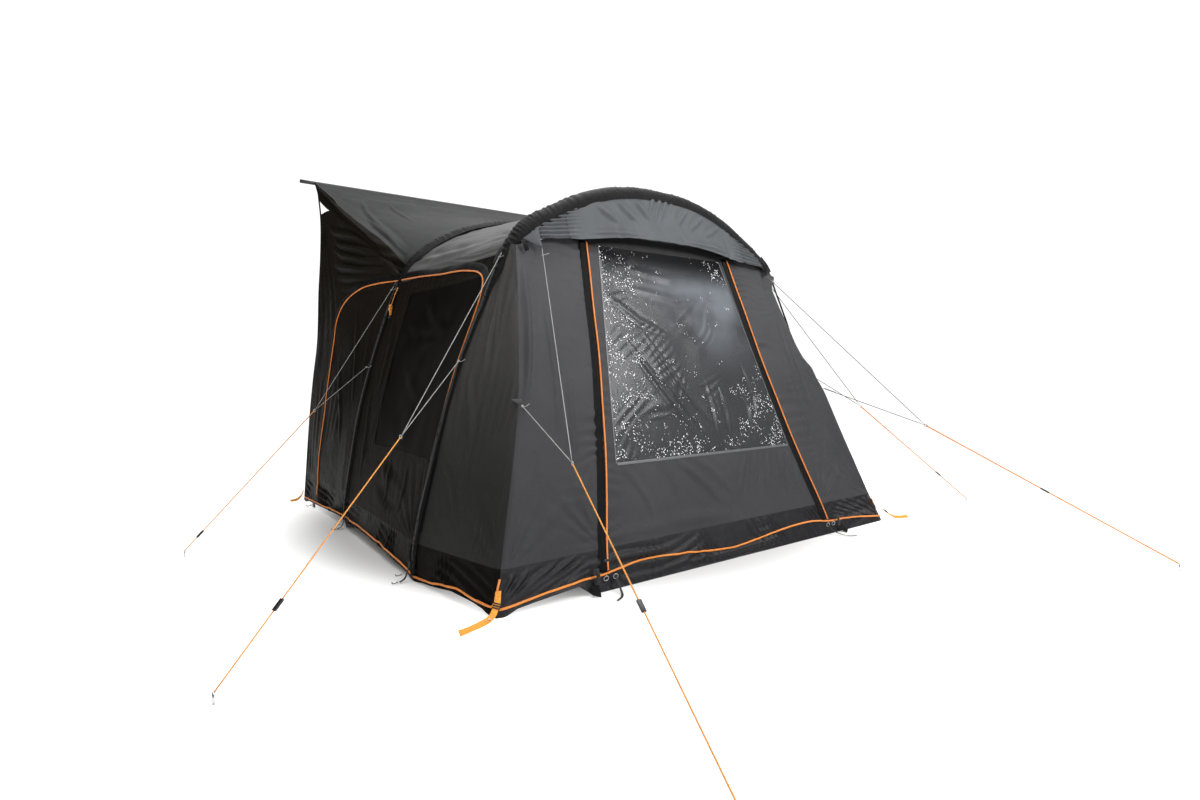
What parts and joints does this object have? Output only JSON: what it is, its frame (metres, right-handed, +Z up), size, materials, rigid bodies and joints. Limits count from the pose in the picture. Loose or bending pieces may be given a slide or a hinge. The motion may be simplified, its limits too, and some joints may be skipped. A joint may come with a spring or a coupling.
{
  "type": "drive-away awning",
  "caption": "Inflatable fabric drive-away awning for a camper van: two arches, zipped front and side doors, a tunnel to the vehicle, and taut guy lines to ground pegs.",
  "frame": {"origin": "centre of the footprint, pegs included, at ground level", "axes": "+Z up; +X to the right across the front, seen by someone who stands outside and faces the front door; +Y from the front door to the vehicle side"},
  "size_m": [4.9518, 4.5992, 2.489],
  "materials": {
    "side_cloth": "coated polyester, near black warm grey",
    "front_cloth": "coated polyester, charcoal",
    "roof_cloth": "coated polyester, dark grey, slight sheen",
    "header_cloth": "coated polyester, mid grey",
    "skirt_cloth": "heavier coated cloth, black",
    "sleeve_cloth": "gathered black cloth",
    "black_webbing": "woven black webbing",
    "orange_trim": "orange piping, zip covers and guy cord",
    "clear_film": "clear flexible film, crinkled",
    "dark_film": "dark inner panel behind the side opening",
    "beam_film": "woven sleeve over an inflated tube",
    "bar_plastic": "black welt bar",
    "white_cord": "thin pale reflective cord"
  },
  "bodies": {
    "root": {"awning_rail_bar": "bar_plastic", "corner_panel_left": "front_cloth", "corner_panel_right": "front_cloth", "corner_strap_left": "orange_trim", "corner_strap_right": "orange_trim", "front_arch_beam": "beam_film", "front_arch_sleeve": "sleeve_cloth", "front_door": "front_cloth", "front_door_zip_left": "orange_trim", "front_door_zip_right": "orange_trim", "front_guy_bridle_left": "white_cord", "front_guy_bridle_right": "white_cord", "front_guy_line_left": "orange_trim", "front_guy_line_right": "orange_trim", "front_header": "header_cloth", "front_hem_piping": "orange_trim", "front_leg_strap_left": "black_webbing", "front_leg_strap_right": "black_webbing", "front_panel_left": "front_cloth", "front_panel_right": "front_cloth", "front_skirt": "skirt_cloth", "front_window": "clear_film", "middle_arch_beam": "beam_film", "middle_arch_sleeve": "sleeve_cloth", "middle_leg_strap_left": "black_webbing", "middle_leg_strap_right": "black_webbing", "rear_edge_cord_left": "black_webbing", "rear_edge_cord_right": "black_webbing", "rear_guy_bridle_left": "white_cord", "rear_guy_bridle_right": "white_cord", "rear_guy_line_left": "orange_trim", "rear_guy_line_right": "orange_trim", "roof_panel": "roof_cloth", "shoulder_gusset_left": "header_cloth", "shoulder_gusset_right": "header_cloth", "side_door_zip_left": "orange_trim", "side_door_zip_right": "orange_trim", "side_guy_bridle_left": "white_cord", "side_guy_bridle_right": "white_cord", "side_guy_line_left": "orange_trim", "side_guy_line_right": "orange_trim", "side_hem_piping_left": "orange_trim", "side_hem_piping_right": "orange_trim", "side_skirt_left": "skirt_cloth", "side_skirt_right": "skirt_cloth", "side_wall_left": "side_cloth", "side_wall_right": "side_cloth", "side_window_left": "dark_film", "side_window_right": "dark_film", "tunnel_cowl": "roof_cloth", "tunnel_side_left": "side_cloth", "tunnel_side_right": "side_cloth"}
  },
  "joints": []
}
